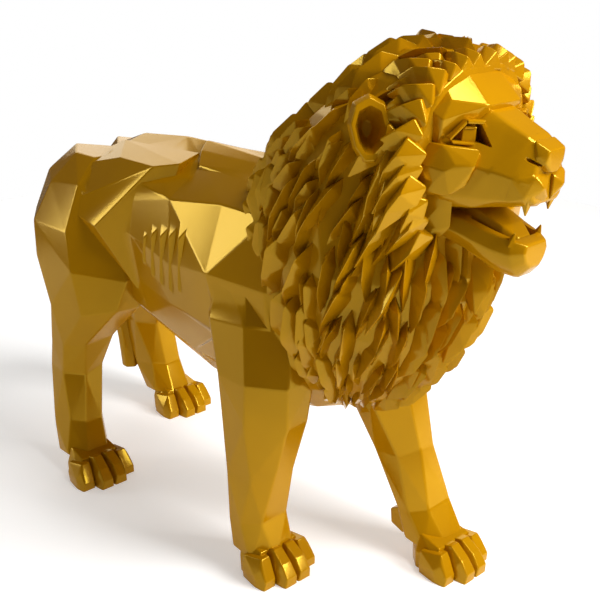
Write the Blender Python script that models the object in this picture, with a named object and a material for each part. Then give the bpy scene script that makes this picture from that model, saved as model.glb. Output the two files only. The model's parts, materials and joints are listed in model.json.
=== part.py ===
"""A faceted lion on its four paws with its mouth open, cast in one piece in resin.

Run with: blender --background --python part.py
Blender units are metres, Z is up and the lion looks along -Y, so its right side is -X.
"""

import math
import random

import bmesh
import bpy
from mathutils import Vector
from mathutils.bvhtree import BVHTree

HEIGHT = 1.20  # floor to the crest of the mane
MODEL_HEIGHT = 120  # the same height in the units of the tables below, so a unit is 1 cm at full size
UNIT = HEIGHT / MODEL_HEIGHT
PAINT_COLOUR = (0.60, 0.36, 0.006, 1.0)
PAINT_ROUGHNESS = 0.18

# The facets are cut by hand, so no corner is quite where a rule would put it
CUT_SEED = 4
BODY_UNEVENNESS = 1.7
LIMB_UNEVENNESS = 1.1
TAIL_UNEVENNESS = 0.3
FLAT_TURN = math.radians(0.4)  # two faces that turn less than this are one facet

# Stance: the middle of each paw on the floor, (x, y)
RIGHT_FORE_PAW = (-14.8, -35.2)
LEFT_FORE_PAW = (15.0, -61.5)
RIGHT_HIND_PAW = (-20.5, 28.2)
LEFT_HIND_PAW = (20.5, 46.2)

PAW_WIDTH = 14.5
PAW_LENGTH = 16.0
PAW_HEIGHT = 8.0
TOES = 4
TOE_SPLAY = 0.7
OUTER_TOE_SHORTER = 2.9
OUTER_TOE_LOWER = 0.12
SUNK = -0.12  # what reaches below the floor is cut away at the end
# Corners of a toe, each on both sides of it: share of half its width, of the paw's length and of its height.
# The first row is measured back from the toe's front, the second from the middle of the paw.
TOE_FRONT = [(0.72, 0.0, 0.30), (0.66, 0.12, 0.64), (1.08, 0.20, 0.40), (0.92, 0.03, SUNK)]
TOE_FRONT += [(1.02, 0.19, SUNK)]
TOE_ROOT = [(0.62, -0.16, 0.95), (0.80, 0.19, 0.80), (1.10, 0.19, 0.38), (0.90, 0.19, SUNK)]
PAD = [(0.46, -0.06, SUNK), (0.47, -0.06, 0.52), (0.36, -0.06, 0.86), (0.42, 0.31, SUNK), (0.44, 0.31, 0.50)]
PAD += [(0.24, 0.50, SUNK), (0.26, 0.50, 0.45), (0.34, 0.31, 1.05)]

# The blunt pad behind each wrist: its middle, and its corners from there, each on both sides
WRIST_PADS = [(15.0, -49.8, 7.0), (-14.6, -26.8, 7.0)]
WRIST_PAD = [(2.6, 1.0, 3.6), (2.4, 4.6, 1.6), (2.2, 4.4, -2.2), (2.6, 0.5, -3.2), (3.0, -3.0, 0.0)]

# The trunk from the tail end to the chest: y, spine height, keel height, half width
TRUNK_STATIONS = [
    (60.0, 66.0, 52.0, 6.0),
    (55.0, 74.0, 46.0, 12.5),
    (46.0, 82.0, 44.0, 18.0),
    (30.0, 89.0, 45.0, 17.0),
    (12.0, 90.5, 39.5, 16.5),
    (-4.0, 90.5, 35.5, 18.5),
    (-22.0, 91.0, 35.0, 20.5),
    (-38.0, 92.0, 37.5, 20.0),
    (-54.0, 90.0, 44.0, 15.0),
]
# Half of the trunk's section, as shares of the half width and of the depth from spine to keel
TRUNK_SECTION = [
    (0.0, 0.0),
    (0.40, 0.07),
    (0.84, 0.17),
    (1.0, 0.42),
    (0.95, 0.62),
    (0.70, 0.83),
    (0.34, 0.97),
    (0.0, 1.0),
]
# Blocks of the trunk as corner points (x, y, z), each doubled across the middle
SPINE_RIDGE = [(0, 4, 90.6), (4, 1, 89.2), (8, -3, 87.0), (8.5, -44, 85.8), (4, -44, 89.4)]
SPINE_RIDGE += [(8, -3, 84), (8.5, -44, 80), (0, 4, 84)]
HAUNCH = [(10.5, 0.5, 87.1), (3.5, 2, 88.4), (3.5, 32, 87.2), (12, 22, 85.4), (12.6, 43, 80.2), (8, 51, 78)]
HAUNCH += [(13.5, 6.5, 86), (16.8, 17, 70.5), (19.6, 23.5, 69.5), (19, 38, 72), (14.2, 14, 54)]
HAUNCH += [(12, 50, 66), (4, 20, 60), (4, 45, 60)]
# Ribs that show through the flank: y, top, bottom
RIBS = [(6.0, 74.0, 60.0), (2.2, 75.5, 58.0), (-1.8, 76.0, 57.0), (-5.8, 77.0, 56.5), (-9.8, 77.5, 57.5)]
RIB_WIDTH = 4.2
RIB_STAND = 0.9
RIB_DEPTH = 2.6
RIB_LEAN = 1.2

# Limbs as level sections from the top down: z, x, y, half width, half length. x is for the right side
RIGHT_HIND_LIMB = [
    (84.0, -6.5, 38.5, 5.0, 9.5),
    (77.0, -9.5, 39.0, 8.6, 14.8),
    (67.0, -10.8, 40.6, 10.8, 19.4),
    (57.0, -12.0, 37.6, 11.0, 20.8),
    (47.0, -14.0, 34.6, 9.2, 15.2),
    (36.5, -16.0, 38.8, 7.1, 8.8),
    (28.0, -17.1, 40.8, 6.0, 7.1),
    (14.0, -19.0, 38.6, 5.6, 6.5),
    (5.5, -20.0, 35.5, 5.8, 7.2),
]
LEFT_HIND_LIMB = [
    (84.0, -6.5, 39.0, 5.0, 9.5),
    (77.0, -9.5, 41.0, 9.0, 16.0),
    (67.0, -10.8, 42.5, 10.8, 19.0),
    (57.0, -12.0, 42.6, 11.0, 19.8),
    (47.0, -14.0, 46.0, 9.2, 16.0),
    (36.0, -16.4, 54.5, 7.3, 10.6),
    (28.0, -17.8, 58.6, 6.2, 8.4),
    (14.0, -19.3, 55.3, 5.7, 6.9),
    (5.5, -20.0, 51.5, 5.8, 7.2),
]
RIGHT_FORE_LIMB = [
    (72.0, -10.0, -26.0, 8.0, 9.0),
    (60.0, -12.4, -28.6, 10.0, 13.2),
    (49.0, -14.3, -32.2, 9.4, 11.3),
    (39.0, -15.0, -32.4, 8.4, 9.6),
    (26.0, -15.0, -30.6, 7.1, 8.2),
    (13.0, -15.0, -29.0, 5.9, 6.6),
    (5.0, -15.0, -31.0, 6.2, 6.8),
]
LEFT_FORE_LIMB = [
    (72.0, -10.0, -26.0, 8.0, 9.0),
    (60.0, -12.3, -29.8, 10.0, 13.0),
    (49.0, -13.8, -34.6, 9.4, 12.0),
    (39.0, -15.0, -39.8, 8.3, 10.0),
    (26.0, -15.8, -45.4, 6.6, 7.4),
    (13.0, -16.0, -51.4, 5.8, 6.0),
    (5.0, -15.6, -56.0, 6.2, 6.8),
]
LIMB_SIDES = 8

# The solid under the locks of the mane, as level sections: z, y, half width, half length
MANE_CORE = [
    (43.0, -47.0, 5.0, 6.5),
    (47.0, -47.5, 10.5, 11.5),
    (54.0, -48.5, 15.5, 16.5),
    (64.0, -49.8, 19.0, 20.8),
    (76.0, -49.8, 21.0, 24.4),
    (88.0, -48.5, 20.5, 24.5),
    (97.0, -51.7, 19.0, 21.8),
    (105.0, -57.0, 17.2, 16.5),
    (112.3, -61.0, 12.8, 11.5),
    (117.2, -63.0, 6.5, 6.0),
]
CORE_SIDES = 14

# The tail hangs from the rump and swings to the left hock: x, y, z of its middle, half width, half depth
TAIL_PATH = [
    (0.0, 57.0, 72.0, 4.6, 4.2),
    (0.0, 64.0, 64.0, 4.2, 3.8),
    (1.0, 66.5, 54.0, 3.6, 3.4),
    (4.5, 66.0, 43.0, 3.0, 2.9),
    (9.5, 64.0, 33.0, 2.7, 2.7),
    (13.0, 62.5, 24.0, 2.7, 2.7),
    (13.8, 62.0, 11.0, 2.6, 2.6),
]
TAIL_SIDES = 6

# The head in measures of its own: x across, f forwards of HEAD_Y and u up from HEAD_Z
HEAD_Y = -70.0
HEAD_Z = 100.0
# Each station of the muzzle is f and half of its outline as (x, u), from the ridge to the upper lip
MUZZLE = [
    (3.0, [(3.6, 8.5), (7.6, 5.4), (12.0, -0.5), (11.0, -6.5), (8.5, -9.0)]),
    (8.0, [(3.4, 8.1), (4.8, 6.6), (9.6, -0.4), (8.8, -6.4), (7.2, -8.6)]),
    (12.0, [(3.1, 6.2), (4.2, 4.8), (8.2, -1.2), (6.8, -6.5), (5.2, -8.0)]),
    (16.0, [(2.9, 4.4), (3.6, 3.4), (6.6, -2.2), (5.4, -6.4), (4.2, -7.4)]),
    (18.4, [(2.2, 2.8), (2.8, 1.6), (4.8, -2.8), (4.2, -5.8), (3.0, -6.8)]),
]
# The lower jaw: f, half width, top, bottom
JAW = [
    (1.0, 8.8, -10.0, -16.5),
    (6.0, 7.6, -11.0, -18.3),
    (11.0, 6.2, -12.6, -20.5),
    (15.0, 5.0, -13.6, -20.9),
    (17.2, 3.4, -14.2, -18.6),
]
JAW_CORNERS = [(0.86, 0.0), (1.0, 0.35), (0.82, 0.70), (0.42, 1.0)]  # shares of its half width and of its depth
JAW_HOLLOW = [(0.72, -0.9), (0.62, 0.18), (0.38, 0.36)]  # the mouth's floor, in the same shares
TONGUE = [
    (1.0, 4.2, -8.6, -13.5),
    (7.0, 4.0, -9.6, -14.5),
    (12.0, 3.4, -11.8, -16.0),
    (14.6, 2.0, -13.6, -16.6),
]
# Blocks of the head as corner points (x, f, u), each doubled across the middle
BROW = [(10, 4.9, 10), (4.5, 8.6, 9), (8.5, 1, 14), (4, 2.5, 15), (0, 7.6, 9.2), (12.3, 2.4, 8.2)]
BROW += [(11.5, 4.4, 6.8), (10, -6, 12), (12, -6, 2), (11, 3, 1), (0, 5, 0)]
SKULL = [(6, 4, 14.6), (11.2, 3.4, 11.6), (14.6, 0.6, 9.6), (15.4, 0.8, -0.6), (14.0, 0.6, -7.5), (10, -1, -15)]
SKULL += [(9, -20, 6), (4, -7, 17.2), (3, 1, 16.2), (0, 4, 0)]
NOSE = [(2.9, 17.0, 4), (3.6, 18.2, 1.6), (2.4, 19.8, 2.6), (2.6, 19.4, 0.2), (1, 19.5, -1.4), (1.4, 18, -1.5)]
NOSE += [(3.4, 17.2, -0.4)]
# Blocks that stand once on each side
WHISKER_PAD = [(0.6, 19, -2.2), (0.6, 18.9, -6), (4.4, 18.8, -1.6), (5.4, 17.4, -5.6), (6.8, 15.4, -2.4)]
WHISKER_PAD += [(6.2, 14, -6.6), (3, 19.8, -3.8), (1.2, 17.4, -7.6), (4.0, 17.0, -7.2), (4.4, 16, -0.6)]
WHISKER_PAD += [(1, 17.5, -1)]
CHEEK = [(9.9, 10.5, -0.4), (12.0, 7.8, -0.2), (13.0, 6.4, -1.4), (11.4, 6.4, -6.0), (9.7, 8.5, -4.2)]
CHEEK += [(8.0, 10.1, 2.1), (10.5, 6.4, 2.5), (12.0, 5.2, 2.8), (14.1, 2.6, -0.8), (13.3, 2.8, -5.6)]
CHEEK += [(6, 4, -2), (12, -3, 3), (12.5, -3, -7)]
MOUTH_CORNER = [(9.2, 5.6, -6), (9.2, 4.0, -9.4), (8.2, 4.6, -12.5), (11.6, 0, -5), (10.6, -1, -14)]
MOUTH_CORNER += [(5, -1, -9), (8.0, 2.4, -15)]
NOSTRIL = [(4.6, 16.4, 1.6), (4.9, 16.4, 0.7), (3.0, 20.2, -0.4), (2.8, 20.0, -1.0), (2.2, 17.0, 0.6)]
# Teeth as root, tip and half width at the root, once on each side
TEETH = [
    ((3.6, 16.8, -6.0), (3.4, 16.6, -10.0), 1.2),
    ((3.9, 14.4, -14.6), (3.9, 15.2, -11.4), 1.1),
]
TOOTH_SIDES = 5
TOOTH_POINT = 0.15

# The eye, in the plane of the side of the face: the plane's origin and directions are in head measures
EYE_MIDDLE = (7.7, 7.5, 4.4)
EYE_INWARDS = (-0.856, 0.514, -0.068)
# Outlines in that plane, along it and up, with the two depths out of the face that each block lies between
EYE_SOCKET = ([(-3.3, -1.2), (-0.7, 1.8), (1.9, 1.9), (2.9, -1.6)], -1.9, 5.0)
EYE_CORNER = ([(1.4, 1.9), (2.0, 1.9), (3.2, -1.9), (1.6, -1.5)], -4.0, 5.0)
EYEBALL = ([(-1.4, -1.6), (-1.3, 1.2), (1.2, 1.2), (1.3, -1.6)], -2.4, -0.5)
EYEBALL_RIM = ([(-1.2, 0.7), (-1.2, 1.2), (1.1, 1.2), (1.1, 0.7)], -1.6, -0.1)
UPPER_LID = ([(-0.9, 1.7), (2.0, 1.7), (2.3, 2.4), (-1.1, 2.4)], -1.2, 0.6)
OUTER_LID = ([(-3.6, -1.2), (-0.9, 1.7), (-1.1, 2.4), (-3.9, -0.9)], -1.2, 0.4)
LOWER_LID = ([(-3.5, -1.2), (1.6, -1.6), (1.5, -2.1), (-3.2, -1.8)], -1.2, 0.45)

EAR_MIDDLE = (18.4, 6.2, 4.6)  # x, backwards of HEAD_Y, up
EAR_FACING = (0.62, -0.76, 0.12)
EAR_WIDTH = 9.2
EAR_HEIGHT = 12.5
EAR_DEPTH = 3.6
EAR_SIDES = 9
EAR_LEAF = 0.40  # how much narrower the ear is towards its foot
EAR_RINGS = [(1.0, 0.1), (0.88, 0.7), (0.6, -1.0)]  # share of its outline, share of EAR_DEPTH outwards
EAR_HOLLOW = [(0.76, 1.1), (0.55, 0.0), (0.25, -0.6)]

# Locks of the mane: spacing on the core, length and width from the crown to the chest
LOCK_SEED = 11
LOCK_TRIES = 9000
LOCK_SPACING = 0.88
CROWN_LOCK = (11.5, 4.7)
CHEST_LOCK = (16.5, 5.5)
LOWEST_LOCK = 0.60  # share of its length that a lock at the foot of the mane has
LOCK_GROWTH = 34.0  # from the crest down to where locks reach their full length
LOCK_PARTING = (0.0, -74.0, 108.0)
LOCK_WEIGHT = 0.80  # how far a lock turns down from its way out from the parting
LOCK_STRAY = 0.22
LOCK_ROOT_DEPTH = 2.6
# Corners of a lock: shares of its length along it, of its width across it and of its width outwards
LOCK_CORNERS = [(-0.45, 0.0, -0.28), (0.55, 0.0, -0.40), (-0.08, 0.5, -0.16), (0.02, -0.5, -0.16)]
LOCK_CORNERS += [(-0.16, 0.0, 0.46), (0.18, 0.0, 0.44)]
# The middle line of the neck, from which locks are set: its y, and how it leans forwards above a height
MANE_AXIS = (-50.5, 88.0, 0.33)
MANE_TOP_CLEAR = 6.0

# The blunt tufts of the hair line round the face, once on each side: x, f, u
HAIR_LINE = [(2.1, 4.0, 15.4), (6.2, 4.0, 15.2), (9.8, 3.8, 13.8), (12.8, 3.4, 11.4), (15.0, 2.8, 8.2)]
HAIR_LINE += [(16.2, 2.4, 4.4), (16.2, 2.4, 0.4), (15.6, 2.4, -3.8), (14.4, 2.4, -8.2), (12.6, 2.2, -12.8)]
TUFT = (14.0, 5.8)  # length, width
TUFT_CORNERS = [(0.0, 0.42, -0.25), (0.0, -0.42, -0.25), (0.0, 0.1, 0.30), (0.32, 0.5, -0.30)]
TUFT_CORNERS += [(0.32, -0.5, -0.30), (0.30, -0.08, 0.42), (0.62, -0.02, 0.30), (1.0, 0.0, -0.22)]
TUFT_OUTWARDS = 0.30
TUFT_BACK = (0.95, 0.45)  # share of its way at the top of the hair line and at its foot
TUFT_UP = (0.16, -0.95)
TUFT_DROP = 1.7  # the foot's way is reached this much sooner than the foot
# The bare face, in head measures: half width, how far back it reaches, its top and its foot
FACE = (15.5, -3.0, 16.0, -17.0)


def scaled(point):
    return Vector(point) * UNIT


def whole_facets(shape):
    """Merge the faces of each flat facet into one."""
    bmesh.ops.dissolve_limit(shape, angle_limit=FLAT_TURN, verts=shape.verts, edges=shape.edges)


def object_of(name, shape, collection):
    """An object holding a bmesh, whose faces are turned outwards."""
    bmesh.ops.recalc_face_normals(shape, faces=shape.faces)
    whole_facets(shape)
    mesh = bpy.data.meshes.new(name)
    shape.to_mesh(mesh)
    shape.free()
    made = bpy.data.objects.new(name, mesh)
    collection.objects.link(made)
    return made


def hull(points):
    """A closed faceted block: the convex hull of a few corner points."""
    shape = bmesh.new()
    for point in points:
        shape.verts.new(scaled(point))
    made = bmesh.ops.convex_hull(shape, input=shape.verts)
    spare = {v for v in made["geom_interior"] + made["geom_unused"] if isinstance(v, bmesh.types.BMVert)}
    bmesh.ops.delete(shape, geom=list(spare), context="VERTS")
    return shape


def mirrored(points):
    return list(points) + [(-x, y, z) for x, y, z in points if x]


def uneven(rings, amount):
    """Rings whose corners stray by up to an amount, mostly along the surface and hardly out of it."""
    dice = random.Random(CUT_SEED)
    strayed = []
    for ring in rings:
        corners = [Vector(corner) for corner in ring]
        middle = sum(corners, Vector()) / len(corners)
        row = []
        for corner in corners:
            outwards = (corner - middle).normalized()
            stray = Vector([dice.uniform(-amount, amount) for _ in range(3)])
            row.append(corner + stray - outwards * stray.dot(outwards) * 0.75)
        strayed.append(row)
    return strayed


def loft(rings):
    """A closed skin over rings of equal count, each quad split along the diagonal that bulges out."""
    shape = bmesh.new()
    rows = [[shape.verts.new(scaled(point)) for point in ring] for ring in rings]
    count = len(rows[0])
    for upper, lower in zip(rows, rows[1:]):
        axis = sum((v.co for v in upper + lower), Vector()) / (2 * count)
        for i in range(count):
            j = (i + 1) % count
            a, b, c, d = upper[i], upper[j], lower[j], lower[i]
            if ((a.co + c.co) / 2 - axis).length >= ((b.co + d.co) / 2 - axis).length:
                triangles = [(a, b, c), (a, c, d)]
            else:
                triangles = [(a, b, d), (b, c, d)]
            for triangle in triangles:
                shape.faces.new(triangle)
    shape.faces.new(rows[0])
    shape.faces.new(reversed(rows[-1]))
    return shape


def level_ring(z, x, y, half_width, half_length, sides):
    """A level polygon round (x, y), whose flat sides face along the axes."""
    grow = 1 / math.cos(math.pi / sides)
    ring = []
    for i in range(sides):
        angle = 2 * math.pi * (i + 0.5) / sides
        ring.append((x + half_width * grow * math.cos(angle), y + half_length * grow * math.sin(angle), z))
    return ring


def limb(stations, side):
    """side is 1 for the tables' own right side and -1 for the left."""
    rings = [level_ring(z, side * x, y, hx, hy, LIMB_SIDES) for z, x, y, hx, hy in stations]
    return loft(uneven(rings, LIMB_UNEVENNESS))


def trunk():
    rings = []
    for y, spine, keel, half_width in TRUNK_STATIONS:
        depth = spine - keel
        half = [(half_width * across, y, spine - depth * down) for across, down in TRUNK_SECTION]
        rings.append(half + [(-x, y, z) for x, y, z in half[-2:0:-1]])
    return loft(uneven(rings, BODY_UNEVENNESS))


def trunk_half_width(y):
    for (back_y, _, _, back), (front_y, _, _, front) in zip(TRUNK_STATIONS, TRUNK_STATIONS[1:]):
        if front_y <= y <= back_y:
            return front + (back - front) * (y - front_y) / (back_y - front_y)
    return TRUNK_STATIONS[-1][3]


def ribs():
    """Narrow upright ridges, leaning back a little as they go down."""
    blocks = []
    for y, top, bottom in RIBS:
        ridge = trunk_half_width(y) + RIB_STAND
        base = ridge - RIB_DEPTH
        for side in (-1, 1):
            points = [(side * ridge, y, top - RIB_WIDTH)]
            points.append((side * ridge * 0.98, y + RIB_LEAN, bottom + RIB_WIDTH))
            for edge in (-1, 1):
                points.append((side * base, y + edge * RIB_WIDTH / 2, top))
                points.append((side * base, y + RIB_LEAN + edge * RIB_WIDTH / 2, bottom))
            blocks.append(hull(points))
    return blocks


def mane_core():
    return loft([level_ring(z, 0, y, hx, hy, CORE_SIDES) for z, y, hx, hy in MANE_CORE])


def path_tube(path, sides):
    """A faceted tube along a path, its rings square to the path."""
    rings = []
    middles = [Vector(station[:3]) for station in path]
    for i, station in enumerate(path):
        ahead = middles[min(i + 1, len(path) - 1)] - middles[max(i - 1, 0)]
        ahead.normalize()
        across = ahead.cross(Vector((0, 1, 0)) if abs(ahead.y) < 0.9 else Vector((0, 0, 1))).normalized()
        over = across.cross(ahead)
        ring = []
        for k in range(sides):
            angle = 2 * math.pi * (k + 0.5) / sides
            way = across * station[3] * math.cos(angle) + over * station[4] * math.sin(angle)
            ring.append(middles[i] + way)
        rings.append(ring)
    return loft(uneven(rings, TAIL_UNEVENNESS))


def on_head(points):
    return [(x, HEAD_Y - f, HEAD_Z + u) for x, f, u in points]


def both_sides(points):
    """The same block on the right and on the left of the head."""
    return [hull(on_head(points)), hull(on_head([(-x, f, u) for x, f, u in points]))]


def head_ring(f, half):
    """A ring across the head from half of its outline, as (x, u)."""
    return on_head([(x, f, u) for x, u in half] + [(-x, f, u) for x, u in reversed(half)])


def muzzle():
    return loft([head_ring(f, half) for f, half in MUZZLE])


def jaw_bar(stations, corners):
    """A bar along the jaw, whose corners are shares of its half width and of its depth."""
    rings = []
    for f, half_width, top, bottom in stations:
        half = [(half_width * across, top + (bottom - top) * down) for across, down in corners]
        rings.append(head_ring(f, half))
    return loft(rings)


def tooth(root, tip, half_width, side):
    root, tip = [Vector(on_head([(side * p[0], p[1], p[2])])[0]) for p in (root, tip)]
    along = (tip - root).normalized()
    across = along.orthogonal().normalized()
    over = along.cross(across)
    points = []
    for k in range(TOOTH_SIDES):
        angle = 2 * math.pi * k / TOOTH_SIDES
        way = across * math.cos(angle) + over * math.sin(angle)
        points += [root + way * half_width, tip + way * TOOTH_POINT]
    return hull(points)


def eye_block(side, outline, inner, outer):
    """A prism on the plane of the eye, between two depths out of the face."""
    middle = Vector(on_head([EYE_MIDDLE])[0])
    inwards = Vector((EYE_INWARDS[0], -EYE_INWARDS[1], EYE_INWARDS[2])).normalized()
    upwards = (Vector((0, 0, 1)) - inwards * inwards.z).normalized()
    outwards = upwards.cross(inwards)
    points = []
    for depth in (inner, outer):
        points += [middle + inwards * along + upwards * up + outwards * depth for along, up in outline]
    return hull([(side * x, y, z) for x, y, z in points])


def ear_block(side, rings):
    """A leaf-shaped block from rings of (share of the ear's outline, share of its depth outwards)."""
    x, back, up = EAR_MIDDLE
    middle = Vector((x, HEAD_Y + back, HEAD_Z + up))
    facing = Vector(EAR_FACING).normalized()
    across = facing.cross(Vector((0, 0, 1))).normalized()
    upwards = across.cross(facing)
    points = []
    for share, depth in rings:
        for k in range(EAR_SIDES):
            angle = 2 * math.pi * k / EAR_SIDES + math.pi / 2
            leaf = 1 - EAR_LEAF * (1 - math.sin(angle)) / 2
            wide = across * math.cos(angle) * leaf * EAR_WIDTH / 2
            high = upwards * math.sin(angle) * EAR_HEIGHT / 2
            points.append(middle + (wide + high) * share + facing * depth * EAR_DEPTH)
    return hull([(side * x, y, z) for x, y, z in points])


def paw(place):
    """Toes with a knuckle each, spread a little, and the pad behind them, all reaching below the floor."""
    x, y = place
    blocks = []
    toe_width = PAW_WIDTH / TOES
    for k in range(TOES):
        share = (k - (TOES - 1) / 2) / ((TOES - 1) / 2)
        middle = x + share * (PAW_WIDTH - toe_width) / 2
        front = y - PAW_LENGTH / 2 + OUTER_TOE_SHORTER * share * share
        low = 1 - OUTER_TOE_LOWER * share * share
        points = []
        for s in (-1, 1):
            for across, along, up in TOE_FRONT:
                across = middle + TOE_SPLAY * share + s * across * toe_width * 0.55
                points.append((across, front + along * PAW_LENGTH, up * low * PAW_HEIGHT))
            for across, along, up in TOE_ROOT:
                across = middle + s * across * toe_width * 0.55
                points.append((across, y + along * PAW_LENGTH, up * low * PAW_HEIGHT))
        blocks.append(hull(points))
    pad = [(s * across, along, up) for s in (-1, 1) for across, along, up in PAD]
    blocks.append(hull([(x + a * PAW_WIDTH, y + b * PAW_LENGTH, c * PAW_HEIGHT) for a, b, c in pad]))
    return blocks


def wrist_pad(place):
    x, y, z = place
    return hull([(x + s * across, y + along, z + up) for s in (-1, 1) for across, along, up in WRIST_PAD])


def shard(place, normal, flow, length, width, corners):
    """A ridged block lying on the core along its flow, which never stands above the crest."""
    across = flow.cross(normal).normalized()
    points = []
    for along, wide, up in corners:
        points.append(place + flow * length * along + across * width * wide + normal * width * up)
    points.append(place + flow * length * (corners[0][0] + corners[-1][0]) / 2 - normal * LOCK_ROOT_DEPTH)
    over = max(0.0, max(point.z for point in points) - MODEL_HEIGHT)
    return hull([point - Vector((0, 0, over)) for point in points])


def clear_of_face(place):
    """Whether a lock may stand here, off the bare face and off the ears."""
    half_width, back, top, foot = FACE
    f = HEAD_Y - place.y
    u = place.z - HEAD_Z
    if foot < u < top and abs(place.x) < half_width and f > back:
        return False
    ear = Vector((math.copysign(EAR_MIDDLE[0], place.x), HEAD_Y + EAR_MIDDLE[1], HEAD_Z + EAR_MIDDLE[2]))
    return (place - ear).length > EAR_WIDTH * 0.55


def mane_locks(core):
    """Locks scattered over the core, none closer to another than its own length and width allow."""
    tree = BVHTree.FromBMesh(core)
    low = min(v.co.z for v in core.verts) / UNIT
    high = max(v.co.z for v in core.verts) / UNIT
    axis_y, knee, lean = MANE_AXIS
    dice = random.Random(LOCK_SEED)
    placed = []
    for _ in range(LOCK_TRIES):
        height = dice.uniform(low, high)
        angle = dice.uniform(0, 2 * math.pi)
        tilt = dice.uniform(-0.3, 0.9) if height > high - 2 * MANE_TOP_CLEAR else dice.uniform(-0.35, 0.35)
        axis = Vector((0, axis_y - max(0.0, height - knee) * lean, min(height, high - MANE_TOP_CLEAR)))
        way = Vector((math.cos(angle) * math.cos(tilt), math.sin(angle) * math.cos(tilt), math.sin(tilt)))
        hit, face_normal, _, _ = tree.ray_cast((axis + way * MODEL_HEIGHT) * UNIT, -way)
        if hit is None or not clear_of_face(hit / UNIT):
            continue
        place = hit / UNIT
        normal = (face_normal.normalized() + way).normalized()
        share = min(1.0, max(0.0, (high - place.z) / LOCK_GROWTH))
        length = CROWN_LOCK[0] + (CHEST_LOCK[0] - CROWN_LOCK[0]) * share
        width = CROWN_LOCK[1] + (CHEST_LOCK[1] - CROWN_LOCK[1]) * share
        length *= min(1.0, LOWEST_LOCK + (place.z - low) / LOCK_GROWTH)
        flow = (place - Vector(LOCK_PARTING)).normalized() + Vector((0, 0, -LOCK_WEIGHT))
        flow -= normal * flow.dot(normal)
        flow.normalize()
        across = flow.cross(normal)
        near = False
        for other, other_length, other_width in placed:
            apart = place - other
            reach = (apart.dot(flow) / (0.66 * (length + other_length) / 2)) ** 2
            reach += (apart.dot(across) / (0.95 * (width + other_width) / 2)) ** 2
            if reach < LOCK_SPACING ** 2 and apart.length < length:
                near = True
                break
        if near:
            continue
        placed.append((place, length, width))
        flow = (flow + across * math.tan(dice.gauss(0, LOCK_STRAY))).normalized()
        length *= dice.uniform(0.85, 1.2)
        width *= dice.uniform(0.9, 1.15)
        yield shard(place, normal, flow, length, width, LOCK_CORNERS)


def hair_line():
    """The row of tufts round the face, each swept outwards and back over the core."""
    top, foot = HAIR_LINE[0][2], HAIR_LINE[-1][2]
    for x, f, u in mirrored(HAIR_LINE):
        fall = min(1.0, TUFT_DROP * (top - u) / (top - foot))
        back = TUFT_BACK[0] + (TUFT_BACK[1] - TUFT_BACK[0]) * fall
        up = TUFT_UP[0] + (TUFT_UP[1] - TUFT_UP[0]) * fall
        flow = Vector((TUFT_OUTWARDS * x / HAIR_LINE[-1][0], back, up)).normalized()
        normal = Vector((x, -abs(x) * 0.3, u - foot / 2)).normalized()
        normal = (normal - flow * normal.dot(flow)).normalized()
        yield shard(Vector(on_head([(x, f, u)])[0]), normal, flow, *TUFT, TUFT_CORNERS)


def joined(body, blocks, operation):
    """Join or cut away a set of closed blocks, which may overlap one another."""
    tools = bpy.data.collections.new("Blocks")
    bpy.context.scene.collection.children.link(tools)
    for number, block in enumerate(blocks):
        object_of("block_%03d" % number, block, tools)
    change = body.modifiers.new(operation.lower(), "BOOLEAN")
    change.operation = operation
    change.solver = "EXACT"
    change.operand_type = "COLLECTION"
    change.collection = tools
    bpy.context.view_layer.update()
    whole = bpy.data.meshes.new_from_object(body.evaluated_get(bpy.context.evaluated_depsgraph_get()))
    body.modifiers.remove(change)
    body.data = whole
    for spare in list(tools.objects):
        bpy.data.objects.remove(spare)
    bpy.data.collections.remove(tools)


def outer_skin(body):
    """Keep the largest skin alone, so that no pocket stays shut up inside the cast."""
    shape = bmesh.new()
    shape.from_mesh(body.data)
    left = set(shape.verts)
    skins = []
    while left:
        queue = [left.pop()]
        skin = list(queue)
        while queue:
            corner = queue.pop()
            near = {edge.other_vert(corner) for edge in corner.link_edges} & left
            left -= near
            queue += near
            skin += near
        skins.append(skin)
    skins.sort(key=len)
    for skin in skins[:-1]:
        bmesh.ops.delete(shape, geom=skin, context="VERTS")
    shape.to_mesh(body.data)
    shape.free()


def settle(body):
    """Rest the soles on z = 0 with the middle of the bounding box on the origin, at the full height."""
    corners = [v.co for v in body.data.vertices]
    low = [min(c[i] for c in corners) for i in range(3)]
    high = [max(c[i] for c in corners) for i in range(3)]
    middle = Vector(((low[0] + high[0]) / 2, (low[1] + high[1]) / 2, 0))
    share = HEIGHT / high[2]
    for vertex in body.data.vertices:
        vertex.co = (vertex.co - middle) * share
    return middle, share


def paint():
    made = bpy.data.materials.new("gloss_paint")
    made.use_nodes = True
    surface = made.node_tree.nodes["Principled BSDF"]
    surface.inputs["Base Color"].default_value = PAINT_COLOUR
    surface.inputs["Roughness"].default_value = PAINT_ROUGHNESS
    made.diffuse_color = PAINT_COLOUR
    return made


def body_blocks():
    blocks = [limb(RIGHT_HIND_LIMB, 1), limb(LEFT_HIND_LIMB, -1)]
    blocks += [limb(RIGHT_FORE_LIMB, 1), limb(LEFT_FORE_LIMB, -1)]
    blocks += [path_tube(TAIL_PATH, TAIL_SIDES), hull(mirrored(SPINE_RIDGE))]
    blocks += [hull(HAUNCH), hull([(-x, y, z) for x, y, z in HAUNCH])] + ribs()
    for place in (RIGHT_FORE_PAW, LEFT_FORE_PAW, RIGHT_HIND_PAW, LEFT_HIND_PAW):
        blocks += paw(place)
    return blocks + [wrist_pad(place) for place in WRIST_PADS]


def head_blocks():
    blocks = [muzzle(), jaw_bar(JAW, JAW_CORNERS)]
    blocks += [hull(on_head(mirrored(BROW))), hull(on_head(mirrored(SKULL))), hull(on_head(mirrored(NOSE)))]
    blocks += both_sides(WHISKER_PAD) + both_sides(CHEEK) + both_sides(MOUTH_CORNER)
    return blocks + [ear_block(side, EAR_RINGS) for side in (1, -1)]


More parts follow.
